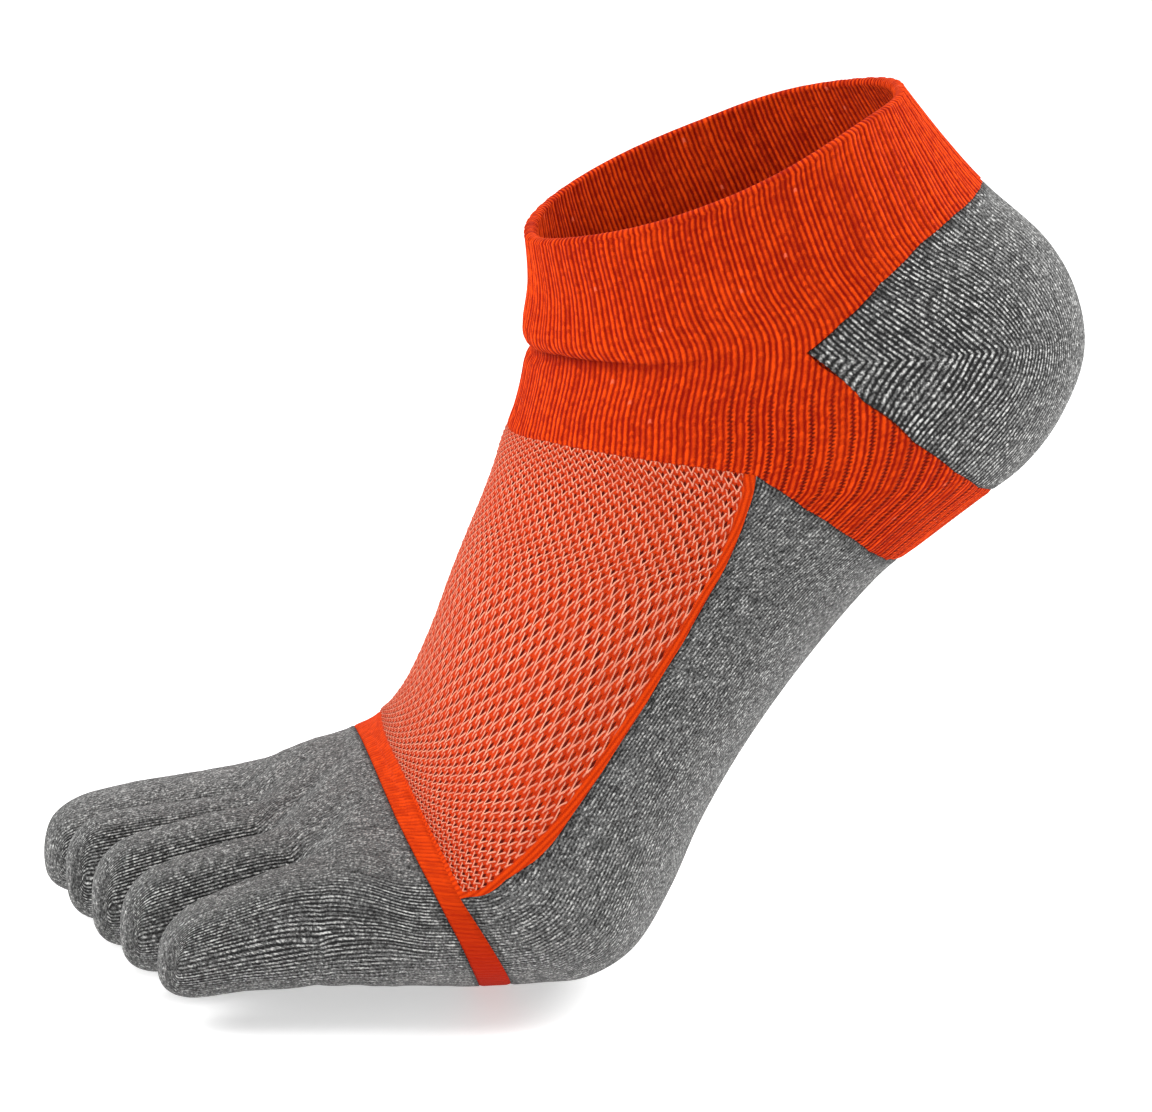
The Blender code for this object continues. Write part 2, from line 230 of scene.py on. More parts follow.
# Sections of the foot that fills the sock, from the rim to the toe bases: front and back points as
# shares of length and height, half widths and the ridge's sideways place as shares of the width,
# lag of the near side, and how square the near, far and back sides are.
FOOT_SECTIONS = np.array([
    (-0.176, -0.082, 0.176, 0.086, 0.342, 0.375, 0.00, 0.00, 2.50, 2.50, 2.45),
    (-0.172, -0.140, 0.218, 0.025, 0.342, 0.350, 0.00, 0.00, 2.30, 2.30, 2.25),
    (-0.174, -0.196, 0.259, -0.027, 0.342, 0.342, 0.00, 0.00, 2.20, 2.20, 2.00),
    (-0.177, -0.222, 0.318, -0.089, 0.348, 0.348, 0.00, 0.00, 2.20, 2.20, 1.95),
    (-0.181, -0.249, 0.348, -0.151, 0.353, 0.353, 0.00, 0.00, 2.20, 2.20, 1.95),
    (-0.187, -0.277, 0.355, -0.216, 0.353, 0.353, 0.00, 0.01, 2.20, 2.20, 2.00),
    (-0.193, -0.296, 0.335, -0.283, 0.353, 0.353, 0.00, 0.01, 2.20, 2.20, 2.00),
    (-0.200, -0.319, 0.303, -0.335, 0.353, 0.353, 0.00, 0.02, 2.20, 2.20, 2.00),
    (-0.208, -0.350, 0.260, -0.373, 0.353, 0.353, 0.00, 0.02, 2.15, 2.15, 2.05),
    (-0.220, -0.389, 0.214, -0.414, 0.359, 0.359, 0.00, 0.03, 2.10, 2.10, 2.10),
    (-0.233, -0.427, 0.166, -0.458, 0.370, 0.370, 0.02, 0.04, 2.05, 2.05, 2.20),
    (-0.250, -0.480, 0.101, -0.547, 0.391, 0.391, 0.04, 0.06, 2.00, 2.00, 2.30),
    (-0.270, -0.548, 0.042, -0.643, 0.418, 0.418, 0.05, 0.09, 2.00, 2.00, 2.40),
    (-0.292, -0.608, -0.004, -0.735, 0.451, 0.446, 0.07, 0.11, 2.00, 2.00, 2.50),
    (-0.309, -0.642, -0.036, -0.816, 0.478, 0.473, 0.09, 0.13, 2.00, 2.00, 2.60),
    (-0.320, -0.657, -0.072, -0.880, 0.495, 0.489, 0.10, 0.14, 2.00, 2.00, 2.80),
    (-0.325, -0.666, -0.119, -0.914, 0.500, 0.500, 0.12, 0.15, 1.95, 1.95, 2.80),
    (-0.329, -0.671, -0.167, -0.921, 0.500, 0.505, 0.14, 0.15, 1.95, 1.95, 2.80),
    (-0.335, -0.678, -0.215, -0.923, 0.500, 0.505, 0.16, 0.16, 1.95, 1.95, 2.80),
    (-0.366, -0.696, -0.273, -0.924, 0.489, 0.500, 0.21, 0.17, 2.30, 1.95, 2.90),
    (-0.401, -0.714, -0.332, -0.906, 0.478, 0.489, 0.27, 0.18, 2.90, 1.95, 2.90),
    (-0.439, -0.730, -0.391, -0.893, 0.473, 0.478, 0.32, 0.19, 3.60, 2.00, 2.90),
])
LAST_SECTION = len(FOOT_SECTIONS) - 1

# Where the knit changes, in sections from the rim, for turns from the front ridge to the back:
# turn, cuff's end, heel's end, ankle band's end, stripe's rear edge, stripe's front edge.
KNIT_CHANGES = np.array([
    (0.000, 2.00, 2.00, 6.15, 15.20, 18.30),
    (0.090, 2.33, 2.33, 5.85, 15.75, 18.30),
    (0.130, 2.70, 2.70, 5.95, 16.30, 18.30),
    (0.167, 3.05, 3.05, 6.10, 16.75, 18.25),
    (0.211, 3.20, 3.20, 6.32, 17.15, 18.20),
    (0.237, 3.35, 3.35, 6.50, 17.30, 18.22),
    (0.254, 3.46, 3.46, 6.95, 17.37, 18.25),
    (0.280, 2.98, 4.75, 7.55, 17.45, 18.28),
    (0.318, 2.50, 5.78, 8.22, 17.55, 18.34),
    (0.363, 2.15, 6.65, 8.87, 17.65, 18.38),
    (0.405, 2.00, 7.25, 9.32, 17.75, 18.40),
    (0.460, 1.92, 7.70, 9.62, 17.80, 18.40),
    (0.500, 1.90, 7.85, 9.70, 17.80, 18.40),
])
CUFF_END, HEEL_END, BAND_END, STRIPE_REAR, STRIPE_FRONT = 1, 2, 3, 4, 5


def along_rows(table, place):
    """Reads evenly counted rows at any place, in a smooth curve through them."""
    last = len(table) - 1
    place = np.clip(np.asarray(place, dtype=float), 0, last)
    row = np.minimum(place.astype(int), last - 1)
    part = (place - row)[..., None]
    before, start, end, after = (table[np.clip(row + step, 0, last)] for step in (-1, 0, 1, 2))
    return 0.5 * (2 * start + (end - before) * part
                  + (2 * before - 5 * start + 4 * end - after) * part ** 2
                  + (3 * start - before - 3 * end + after) * part ** 3)


def near_turn(turn):
    """The same turn counted from the front ridge on either side."""
    return 0.5 - np.abs(np.mod(turn, 1.0) - 0.5)


def knit_change(which, turn):
    return np.interp(near_turn(turn), KNIT_CHANGES[:, 0], KNIT_CHANGES[:, which])


def eased(part):
    """0 below 0 and 1 above 1, with soft ends between them."""
    part = np.clip(part, 0, 1)
    return part * part * (3 - 2 * part)


def squared(angle_part, square):
    """A sine or cosine, drawn out to the outline of a rounded square."""
    return np.sign(angle_part) * np.abs(angle_part) ** (2 / square)


def foot_skin(place, turn):
    """The knit's outer face behind the toes, at a place along the sections and a turn round them."""
    (front_x, front_z, back_x, back_z, near, far, lag, ridge, near_square, far_square,
     back_square) = np.moveaxis(along_rows(FOOT_SECTIONS, place), -1, 0)
    cosine = np.cos(math.tau * turn)
    sine = np.sin(math.tau * turn)
    frontness = eased(0.5 + cosine)
    square = np.where(sine > 0, near_square, far_square) * frontness + back_square * (1 - frontness)
    rise = squared(cosine, square)
    y = -np.where(sine > 0, near, far) * SOCK_WIDTH * squared(sine, square)
    half_x = (front_x - back_x) / 2 * SOCK_LENGTH
    half_z = (front_z - back_z) / 2 * SOCK_HEIGHT
    half = np.hypot(half_x, half_z)
    x = (front_x + back_x) / 2 * SOCK_LENGTH + half_x * rise - half_z / half * lag * y
    z = (front_z + back_z) / 2 * SOCK_HEIGHT + half_z * rise + half_x / half * lag * y
    y = y + ridge * SOCK_WIDTH * np.clip(cosine, 0, 1) ** 2
    return np.stack([x, y, z], axis=-1)


def unit(vectors):
    return vectors / np.maximum(np.linalg.norm(vectors, axis=-1, keepdims=True), 1e-12)


def foot_outward(place, turn):
    """The direction out of the knit's face."""
    step = 2e-3
    down = foot_skin(place + step, turn) - foot_skin(place - step, turn)
    around = foot_skin(place, turn + step) - foot_skin(place, turn - step)
    return unit(np.cross(down, around))


# Stitches are counted by real lengths on the skin: wales by the way round, courses by the way down.
def lengths_along(points, axis):
    """How far each point of a grid lies from the first one, along the grid's lines."""
    lengths = np.linalg.norm(np.diff(points, axis=axis), axis=-1).cumsum(axis=axis)
    return np.pad(lengths, ((1, 0), (0, 0)) if axis == 0 else ((0, 0), (1, 0)))


RULER_ROWS = 126
RULER_COLUMNS = 720
ruler_places = np.linspace(0, LAST_SECTION, RULER_ROWS + 1)
ruler_turns = np.linspace(0, 1, RULER_COLUMNS + 1)
ruler_points = foot_skin(ruler_places[:, None], ruler_turns[None, :])
ruler_round = lengths_along(ruler_points, 1)
ruler_girth = ruler_round[:, -1]
ruler_round = ruler_round / ruler_girth[:, None]
ruler_down = lengths_along(ruler_points, 0) / COURSE


def read_ruler(ruler, place, turn):
    """Reads a ruler between its marks; a turn past either end goes on counting."""
    place, turn = np.broadcast_arrays(place, turn)
    lap = np.floor(turn)
    row = np.clip(place / LAST_SECTION * RULER_ROWS, 0, RULER_ROWS - 0.001)
    column = (turn - lap) * RULER_COLUMNS
    top = row.astype(int)
    left = np.minimum(column.astype(int), RULER_COLUMNS - 1)
    down, across = row - top, column - left
    return ((ruler[top, left] * (1 - down) + ruler[top + 1, left] * down) * (1 - across)
            + (ruler[top, left + 1] * (1 - down) + ruler[top + 1, left + 1] * down) * across), lap


def wales_at(place, turn):
    """Wales from the front ridge. Over the ankle band they are drawn forward on both sides."""
    share, lap = read_ruler(ruler_round, place, turn)
    leaning = (5.5 * np.sin(math.pi * np.clip(place / 7.0, 0, 1))
               - 3.8 * np.sin(math.pi * np.clip(place / 5.0, 0, 1)) ** 2)
    return (share + lap) * WALES + leaning * np.sin(math.tau * turn)


def courses_at(place, turn):
    """Courses from the rim."""
    return read_ruler(ruler_down, place, turn)[0]


def turn_of_wale(place, wale):
    """The turn at which a wale is met at a place, for grids whose lines follow the wales."""
    turn = wale / WALES
    for _ in range(12):
        slope = (wales_at(place, turn + 1e-3) - wales_at(place, turn - 1e-3)) / 2e-3
        turn = turn - (wales_at(place, turn) - wale) / np.maximum(slope, 60)
    return turn


def read_all(items, field, width=1, kind=float):
    """One field of all of a mesh's points, edges, faces or corners."""
    values = np.empty(len(items) * width, dtype=kind)
    items.foreach_get(field, values)
    return values.reshape(-1, width) if width > 1 else values


def note(piece, name, values):
    """Keeps one number for each point, which a material reads."""
    kept = piece.data.attributes.new(name, "FLOAT", "POINT")
    kept.data.foreach_set("value", np.ascontiguousarray(values).reshape(-1).astype(np.float32))


def lay_knit(name, points, wales, courses, joined=False, **notes):
    """Lays a grid of cloth over the points, face outwards, with its stitch counts as its UV map."""
    rows, columns = points.shape[:2]
    bpy.ops.object.select_all(action="DESELECT")
    bpy.ops.mesh.primitive_grid_add(x_subdivisions=columns - 1, y_subdivisions=rows - 1, size=1)
    piece = bpy.context.object
    piece.name = piece.data.name = name
    cloth = piece.data
    cloth.vertices.foreach_set("co", np.ascontiguousarray(points[:, ::-1]).reshape(-1))
    corners = read_all(cloth.loops, "vertex_index", kind=np.int32)
    stitches = np.stack(np.broadcast_arrays(wales, courses), axis=-1)[:, ::-1].reshape(-1, 2)
    cloth.uv_layers[0].name = "knit"
    cloth.uv_layers["knit"].data.foreach_set("uv", np.ascontiguousarray(stitches[corners]).reshape(-1))
    for kind, values in notes.items():
        note(piece, kind, values[:, ::-1])
    cloth.update()
    if joined:
        bpy.ops.object.mode_set(mode="EDIT")
        bpy.ops.mesh.select_all(action="SELECT")
        bpy.ops.mesh.remove_doubles(threshold=1e-6)
        bpy.ops.object.mode_set(mode="OBJECT")
    bpy.ops.object.shade_smooth()
    return piece


def hand_over(piece, material, slot, *nodes):
    """Gives a piece its material and lets it stand for its solids."""
    piece.data.materials.clear()
    piece.data.materials.append(material)
    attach(piece, "root")
    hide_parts(*nodes)


def knit_fabric(start, wander=0.35, finer=1.0):
    """Plain knit from the UV map: places in wales and courses, and the marks of one stitch."""
    stitch = start.stitch_map()
    course = stitch.axis(1) * finer
    straight = stitch.axis(0) * finer
    wale = straight + ((straight * 0.8).joined(course * 0.45).cloud(1.0, 2.0) - 0.5) * wander
    side = (wale.fract() - 0.5).size()
    climb = course - side * 1.3
    column = 1 - side.smooth(0.08, 0.48)
    leg = (climb.fract() * math.pi).math("SINE")
    dice = wale.floor().dice(climb.floor())
    row_dice = wale.floor().dice(7.0, 3.0)
    fibres = (wale * 6.0).joined(climb * 3.0).cloud(1.0, 3.0)
    return wale, course, column, leg, dice, row_dice, fibres


def edge_lines(count):
    """Shares from 0 to 1 that lie four times closer at both ends, where a seam dips."""
    even = np.linspace(0, 1, count)
    return even - 0.12 * np.sin(math.tau * even)


SEAM_DIP = 0.00020       # how deep a join between two pieces lies
SEAM_REACH = 0.00050     # how far from the join the cloth bends down to it


def seam_dip(points, sides=False):
    """How far each point of a grid dips to the joins at both ends, or all round, and lies from them."""
    down = lengths_along(points, 0)
    nearest = np.minimum(down, down[-1:] - down)
    if sides:
        over = lengths_along(points, 1)
        nearest = np.minimum(nearest, np.minimum(over, over[:, -1:] - over))
    return SEAM_DIP * np.exp(-(nearest / SEAM_REACH) ** 2), nearest


def wale_grid(per_wale=4):
    """Wale numbers of a ring's columns."""
    return np.linspace(0, WALES, WALES * per_wale + 1)[None, :]


CUFF_WALL = 0.0022
RIM_ROLL = 0.0013        # radius of the rolled upper edge
FOLD_BULGE = 0.0021      # how far the fold hangs out
FOLD_TURN = 0.21         # turn at which it ends
RIB_DEPTH = 0.00009
WIDE_RIB_DEPTH = 0.00013  # of every fourth wale
ORANGE_LIT = (0.89, 0.073, 0.0025, 1)
ORANGE_DEEP = (0.25, 0.004, 0.0006, 1)
ORANGE_SPECK = (0.85, 0.36, 0.26, 1)
# painted shade under the cuff's fold, mixed into the rib's colour
ORANGE_FOLD_SHADE = (0.17, 0.0015, 0.0003, 1)
ORANGE_HOLE = (0.085, 0.003, 0.001, 1)
ORANGE_RELIEF = 0.00034
# how far the rim lies from its even line: height, turn and width in turns
RIM_LEVEL = 0.0004
RIM_SAGS = [(-0.0016, 0.50, 0.09), (0.0010, 0.75, 0.12), (-0.0034, 0.25, 0.11), (-0.0014, 0.61, 0.08)]


def rib_material(name, dotted):
    """Orange rib: bright wales, dark valleys, and behind the ankle columns of small open stitches."""
    material, start, places = new_material(name, 0.9, 0.02)
    wale, course, column, leg, dice, row_dice, fibres = knit_fabric(start)
    bead = column * leg * leg
    gap = (1 - column) * (1.12 - leg) * (0.45 + row_dice * 0.95)
    bright = 0.42 + bead * (0.52 + dice * 0.62) - gap * 0.54 + (places.cloud(60.0, 2.0) - 0.5) * 0.35
    bright += (dice - 0.5) * 0.16 + (row_dice - 0.5) * 0.18 + (fibres - 0.5) * 0.72
    colour = bright.smooth(0.0, 1.0).mix(ORANGE_DEEP, ORANGE_LIT)
    speck = dice.above(0.997) * bead * column
    colour = (speck * 0.9).mix(colour, ORANGE_SPECK)
    # painted shade under the fold: darker where the cuff hangs over the ankle band
    colour = (start.noted("crease") * 0.70).mix(colour, ORANGE_FOLD_SHADE)
    height = column * 0.20 + bead * 0.7 + fibres * 0.40
    if dotted:
        round_side = ((wale / WALES).fract() - 0.5).size()
        behind = 1 - round_side.smooth(0.27, 0.31)
        below = 1 - places.axis(2).smooth(-0.046, -0.030)
        third = 1 - ((wale / 3.0).fract() * 3.0 - 1.0).size().smooth(0.30, 0.62)
        row = ((course * 0.85 + (wale.floor() * 0.5).fract()).fract() - 0.5).size()
        hole = third * behind * below * (1 - row.smooth(0.14, 0.30)) * (0.45 + dice * 0.45)
        colour = hole.mix(colour, ORANGE_HOLE)
        height = height - hole * 0.8
    finish_material(material, colour, height, ORANGE_RELIEF)
    return material


def under_fold(turns):
    """How deep the shade of the fold is at a turn: deepest beside the instep, gone by the ankle."""
    near = near_turn(turns)
    rising = np.clip(near / 0.09, 0, 1)
    return (0.35 + 0.65 * rising) * (1 - eased((near - 0.14) / 0.09))


wale_lines = wale_grid()
outer = np.append(np.linspace(0.035, 0.997, 34), 1.0)
roll = np.linspace(0, math.pi, 9)[1:-1]
inner = np.linspace(1, 0.035, 12)
share = np.concatenate([outer, [1.0, 1.0], inner, np.full(len(roll) + 1, 0.035)])[:, None]
depth = np.concatenate([np.zeros(len(outer)), [0.0008, 0.0016], np.full(len(inner), CUFF_WALL),
                        CUFF_WALL / 2 + RIM_ROLL * np.cos(roll), [0.0]])[:, None]
rise = np.concatenate([np.zeros(len(outer) + 2 + len(inner)), RIM_ROLL * np.sin(roll), [0.0]])[:, None]
rib = (RIB_DEPTH * np.cos(math.tau * (wale_lines - 0.5))
       + WIDE_RIB_DEPTH * np.cos(math.tau * wale_lines / 4))
turns = turn_of_wale(0.0, wale_lines)
for _ in range(2):
    place = share * knit_change(CUFF_END, turns)
    turns = turn_of_wale(place, wale_lines)
outside = foot_outward(place, turns)
from_ridge = near_turn(turns)
front = np.clip(1 - from_ridge / FOLD_TURN, 0, 1) ** 0.5
front = front * (1 - 0.55 * np.exp(-(from_ridge / 0.035) ** 2))
slump = FOLD_BULGE * front * np.sin(math.pi * share ** 3.4)
ripple = 0.00012 * front * np.sin(math.pi * share ** 2) * np.sin(math.tau * turns * 9 + 1.2)
on_top = np.where(depth < CUFF_WALL * 0.6, 1.0, -1.0)
points = foot_skin(place, turns)
points += outside * (slump + ripple + on_top * rib - depth)[..., None]
up = unit(foot_skin(0.0, turns) - foot_skin(0.25, turns))
level = RIM_LEVEL + sum(height * np.exp(-((turns - at) / width) ** 2) for height, at, width in RIM_SAGS)
points += up * (rise + level * np.clip(1 - share / 0.5, 0, 1) ** 2)[..., None]
points[-1] = points[0]
# the cuff's lowest rows carry the painted shade under its fold
cuff = lay_knit("cuff_rib", points, wale_lines, courses_at(place, turns) - rise / COURSE, joined=True,
                crease=under_fold(turns) * np.exp(-((1 - share) / 0.030) ** 2) * 0.7)
hand_over(cuff, rib_material("cuff_rib_yarn", False), "rib_orange", "cuff")


# The ankle band: the same orange yarn in a flatter rib, knitted straight on below the cuff. It runs
# down the front of the ankle and under the arch, between the heel pocket and the foot.
WALL = 0.0018
SAME_YARN_TURN = 0.254   # up to here from the front ridge, the band goes on from the cuff unseamed


def ring_cloth(name, start_change, end_change, outer_rows, inner_rows, relief, per_wale=4):
    """A closed ring of cloth between two changes of knit, with an outer and an inner face."""
    lines = wale_grid(per_wale)
    out_share = np.concatenate([[0, 0.0012], edge_lines(outer_rows - 2)[1:-1], [0.9988, 1]])
    in_share = np.linspace(1, 0, inner_rows)
    share = np.concatenate([out_share, in_share, [0.0]])[:, None]
    depth = np.concatenate([np.zeros(outer_rows), np.full(inner_rows, WALL), [0.0]])[:, None]
    turns = np.broadcast_to(lines / WALES, (len(share), lines.shape[1]))
    for _ in range(3):
        start = knit_change(start_change, turns)
        place = start + (knit_change(end_change, turns) - start) * share
        turns = turn_of_wale(place, lines)
    outside = foot_outward(place, turns)
    lift = relief(lines, place, turns) * np.where(depth > 0, -1, 1) - depth
    points = foot_skin(place, turns)
    dip = seam_dip(points[:outer_rows])[0]
    crease = np.zeros(place.shape)
    if start_change == HEEL_END:
        same_yarn = (near_turn(turns[:outer_rows]) < SAME_YARN_TURN) & (share[:outer_rows] < 0.5)
        dip = np.where(same_yarn, 0.0, dip)
        # painted shade on the band just below the fold, fading with the distance from it
        fallen = lengths_along(points[:outer_rows], 0)
        crease[:outer_rows] = under_fold(turns[:outer_rows]) * np.exp(-(fallen / 0.0021) ** 2)
    lift[:outer_rows] -= dip
    points += outside * lift[..., None]
    points[-1] = points[0]
    return lay_knit(name, points, lines, courses_at(place, turns), joined=True, crease=crease)


def band_relief(lines, place, turns):
    waves = 0.00007 * np.cos(math.tau * (lines - 0.5)) + 0.00009 * np.cos(math.tau * lines / 4)
    front = np.clip(1 - near_turn(turns) / FOLD_TURN, 0, 1)
    return waves - 0.0009 * front * np.exp(-((place - 2.4) / 0.4) ** 2)


band = ring_cloth("ankle_band_rib", HEEL_END, BAND_END, 44, 10, band_relief)
hand_over(band, rib_material("ankle_band_yarn", True), "rib_orange", "ankle_band")


# The heel pocket: heather grey knit, turned back and forth so that its rows meet in a line on each
# side of the heel, with the stitches of both halves leaning back from that line.
HEEL_START = 0.2545      # turn of the pocket's point
HEEL_WALE = 0.00102      # width of one wale over the heel
HEEL_LEAN_WALE = 0.00118  # way up at which a lean of 1 shifts the stitches by one wale
GORE_RISE = 0.00022      # of the line where the rows meet
GREY_DARK = (0.018, 0.018, 0.018, 1)
GREY_MID = (0.150, 0.150, 0.148, 1)
GREY_PALE = (0.70, 0.70, 0.68, 1)


def heather_material(name, contrast, finer=1.5):
    """Heather grey: pale and dark fibres carded together, so that each stitch has its own shade."""
    material, start, places = new_material(name, 0.95, 0.08)
    wale, course, column, leg, dice, row_dice, _ = knit_fabric(start, 0.30, finer)
    seam_gap = start.noted("seam_gap")
    patches = places.cloud(140.0, 2.0).smooth(0.36, 0.66)
    # how strongly the grooves and beads show; on the toes this is painted shade that follows which way
    # the surface faces
    groove_contrast = start.noted("open_knit") * (0.55 + patches * 0.45) * contrast
    fuzz = places.cloud(2100.0, 2.0) - 0.5
    fibres = (wale * 3.8).joined(course * 3.4).cloud(1.0, 2.0)
    gap = (1 - column) * (1 - leg * 0.72)
    at_seam = 1 - seam_gap.smooth(0.0011, 0.0017)
    tick = ((course / (1.6 * finer)).fract() * math.pi).math("SINE")
    bright = 0.47 + (dice - 0.5) * 0.26 + (fibres - 0.5) * 0.90 + (row_dice - 0.5) * 0.06 + fuzz * 1.6
    bright += column * leg * dice * groove_contrast * 0.64 - gap * groove_contrast * 1.05
    bright += at_seam * (tick * tick * 1.30 - 0.42) - (1 - seam_gap.smooth(0.0001, 0.0004)) * 0.18
    colour = bright.smooth(-0.05, 0.62).mix(GREY_DARK, GREY_MID)
    colour = bright.smooth(0.48, 1.05).mix(colour, GREY_PALE)
    height = column * 0.45 + leg * column * 0.35 + fibres * 0.35 + fuzz * 0.3
    finish_material(material, colour, height, 0.00030)
    return material


def thicken(piece):
    """Gives a sheet its wall, inwards."""
    bpy.ops.object.select_all(action="DESELECT")
    piece.select_set(True)
    bpy.context.view_layer.objects.active = piece
    thickness = piece.modifiers.new("wall", "SOLIDIFY")
    thickness.thickness = WALL
    thickness.offset = -1
    bpy.ops.object.modifier_apply(modifier="wall")


turns = np.linspace(HEEL_START, 1 - HEEL_START, 201)[None, :]
share = edge_lines(121)[:, None]
start = knit_change(CUFF_END, turns)
place = start + (knit_change(HEEL_END, turns) - start) * share
points = foot_skin(place, turns)
down = lengths_along(points, 0)
half_height = down[-1] / 2
across = wales_at(5.0, turns)[0]
from_apex = np.minimum(across - across[0], across[-1] - across) * HEEL_WALE
across = across * 0.95
lean = np.gradient(half_height) / np.maximum(np.abs(np.gradient(from_apex)), 1e-5)
lean = np.convolve(np.pad(lean, 12, mode="edge"), np.ones(25) / 25, mode="valid")
lean = np.clip(lean * 0.5, 0, 0.42) * (1 - eased((near_turn(turns)[0] - 0.37) / 0.11))
from_edge = np.minimum(down, down[-1] - down)
curved = (from_edge / np.maximum(half_height, 1e-5)) ** 0.4
wales = across - np.sign(0.5 - turns) * lean * from_edge * curved / HEEL_LEAN_WALE
courses = np.where(down > half_height, down - down[-1], down) / COURSE
gore = np.exp(-((down - half_height) / 0.0006) ** 2) * np.clip(half_height / 0.004, 0, 1)
gore = gore * np.clip((0.39 - near_turn(turns)) / 0.05, 0, 1)
dip, rim_gap = seam_dip(points)
points += foot_outward(place, turns) * (GORE_RISE * gore - dip)[..., None]
beside_back = np.clip((np.abs(turns - 0.5) - 0.03) / 0.12, 0, 1)
beside_back = np.broadcast_to(0.20 + 0.80 * beside_back, place.shape)
heel = lay_knit("heel_pocket_knit", points, wales, courses, open_knit=beside_back, seam_gap=rim_gap)
thicken(heel)
hand_over(heel, heather_material("heel_pocket_yarn", 1.25, 1.3), "heather_grey", "heel_pocket")


# The instep mesh: orange ground with a pale second yarn tucked over every other stitch, which pulls
# the ground into a lattice of small open diamonds. A plain edge runs along both sides.
TUCK_PITCH = 0.00275     # from one pale tuck to the next
MESH_COURSES = 58        # rows of tucks from the ankle band to the stripe
LATTICE_DEPTH = 0.00016
FOOT_GIRTH = 0.235
BAND_STEP = 0.006        # from section to section by the ankle band, and by the stripe
STRIPE_STEP = 0.0055
PLAIN_ENDS = 0.0018      # by how much the plain edge is narrower along the ankle band
GROUND_DEEP = (0.30, 0.007, 0.001, 1)
GROUND_LIT = (0.71, 0.061, 0.006, 1)
PALE_YARN = (0.88, 0.35, 0.23, 1)
MESH_HOLE = (0.060, 0.0015, 0.0006, 1)
# share of the way from the ankle band to the stripe, and turn of the mesh's side
MESH_SIDES = np.array([
    (0.00, 0.238), (0.10, 0.250), (0.23, 0.267), (0.33, 0.276), (0.41, 0.276),
    (0.51, 0.270), (0.64, 0.258), (0.79, 0.242), (1.00, 0.238),
])


def foot_grid(first_turn, last_turn, shares, columns):
    """Places and turns of a panel between the ankle band and the stripe."""
    turns = first_turn + (last_turn - first_turn) * columns
    start = knit_change(BAND_END, turns)
    return start + (knit_change(STRIPE_REAR, turns) - start) * shares, turns


share = edge_lines(196)[:, None]
side = np.interp(share, MESH_SIDES[:, 0], MESH_SIDES[:, 1])
place, turns = foot_grid(-side, side, share, edge_lines(235)[None, :])
points = foot_skin(place, turns)
girth = np.interp(place, ruler_places, ruler_girth)
tucks = wales_at(place, turns) / WALES * girth / TUCK_PITCH
rows = share * (1.10 - 0.10 * share) * MESH_COURSES
lattice = np.cos(math.tau * tucks) * np.cos(math.pi * rows)
from_band = place - knit_change(BAND_END, turns)
to_stripe = knit_change(STRIPE_REAR, turns) - place
to_side = (side - np.abs(turns)) * FOOT_GIRTH
open_here = np.clip(np.minimum(np.minimum(from_band, to_stripe) * BAND_STEP, to_side) / 0.002, 0, 1)
lift = LATTICE_DEPTH * lattice * open_here - seam_dip(points, sides=True)[0]
points += foot_outward(place, turns) * lift[..., None]
distance = np.minimum(np.minimum(to_side, to_stripe * STRIPE_STEP), from_band * BAND_STEP + PLAIN_ENDS)
mesh = lay_knit("instep_mesh_knit", points, tucks, rows, edge_distance=distance)
thicken(mesh)

mesh_yarn, start, places = new_material("instep_mesh_yarn", 0.9, 0.02)
wale = start.stitch_map().axis(0)
row = start.stitch_map().axis(1)
inside = start.noted("edge_distance").smooth(0.0016, 0.0019)
fibres = (wale * 12.0).joined(row * 9.0).cloud(1.0, 3.0)
wander = (wale * 2.4).joined(row * 1.1).cloud(1.0, 2.0) - 0.5
legs, holes = [], []
for shift in (0.0, 0.5):
    cell = wale + shift
    level = row * 0.5 + shift
    tuck_dice = cell.floor().dice(level.floor(), 5.0)
    away = (cell.fract() - 0.5 + wander * 0.14).size()
    deep = level.fract() + wander * 0.10
    leg_place = 0.02 + (0.62 - deep) * 0.42
    leg = 1 - (away - leg_place).size().smooth(0.030, 0.095)
    leg = leg * deep.smooth(0.01, 0.10) * (1 - deep.smooth(0.62, 0.70)) * (0.62 + tuck_dice * 0.38)
    stem = (1 - away.smooth(0.04, 0.10)) * deep.smooth(0.55, 0.62) * (1 - deep.smooth(0.78, 0.92))
    legs.append(leg.math("MAXIMUM", leg, stem * 0.65))
    drop = (deep - 0.22).size() / 0.24
    holes.append((1 - (away / 0.13 + drop * 0.8).smooth(0.45, 1.10)) * (0.60 + tuck_dice * 0.40))
pale_yarn = wale.math("MAXIMUM", legs[0], legs[1])
hole = wale.math("MAXIMUM", holes[0], holes[1])
ground = fibres - 0.05 + wander * 0.6
open_colour = ground.smooth(0.0, 1.0).mix(GROUND_DEEP, GROUND_LIT)
open_colour = (pale_yarn * inside * 0.95).mix(open_colour, PALE_YARN)
plain_column = 1 - ((wale * 2.6).fract() - 0.5).size().smooth(0.1, 0.5)
plain_bright = 0.34 + plain_column * 0.25 + (fibres - 0.5) * 0.7
colour = inside.mix(plain_bright.smooth(0.0, 1.0).mix(ORANGE_DEEP, ORANGE_LIT), open_colour)
colour = (hole * inside).mix(colour, MESH_HOLE)
height = inside * (pale_yarn * 0.6 - hole + fibres * 0.2) + (1 - inside) * plain_column * 0.2
finish_material(mesh_yarn, colour, height, 0.00040)
hand_over(mesh, mesh_yarn, "mesh_orange", "instep_mesh")


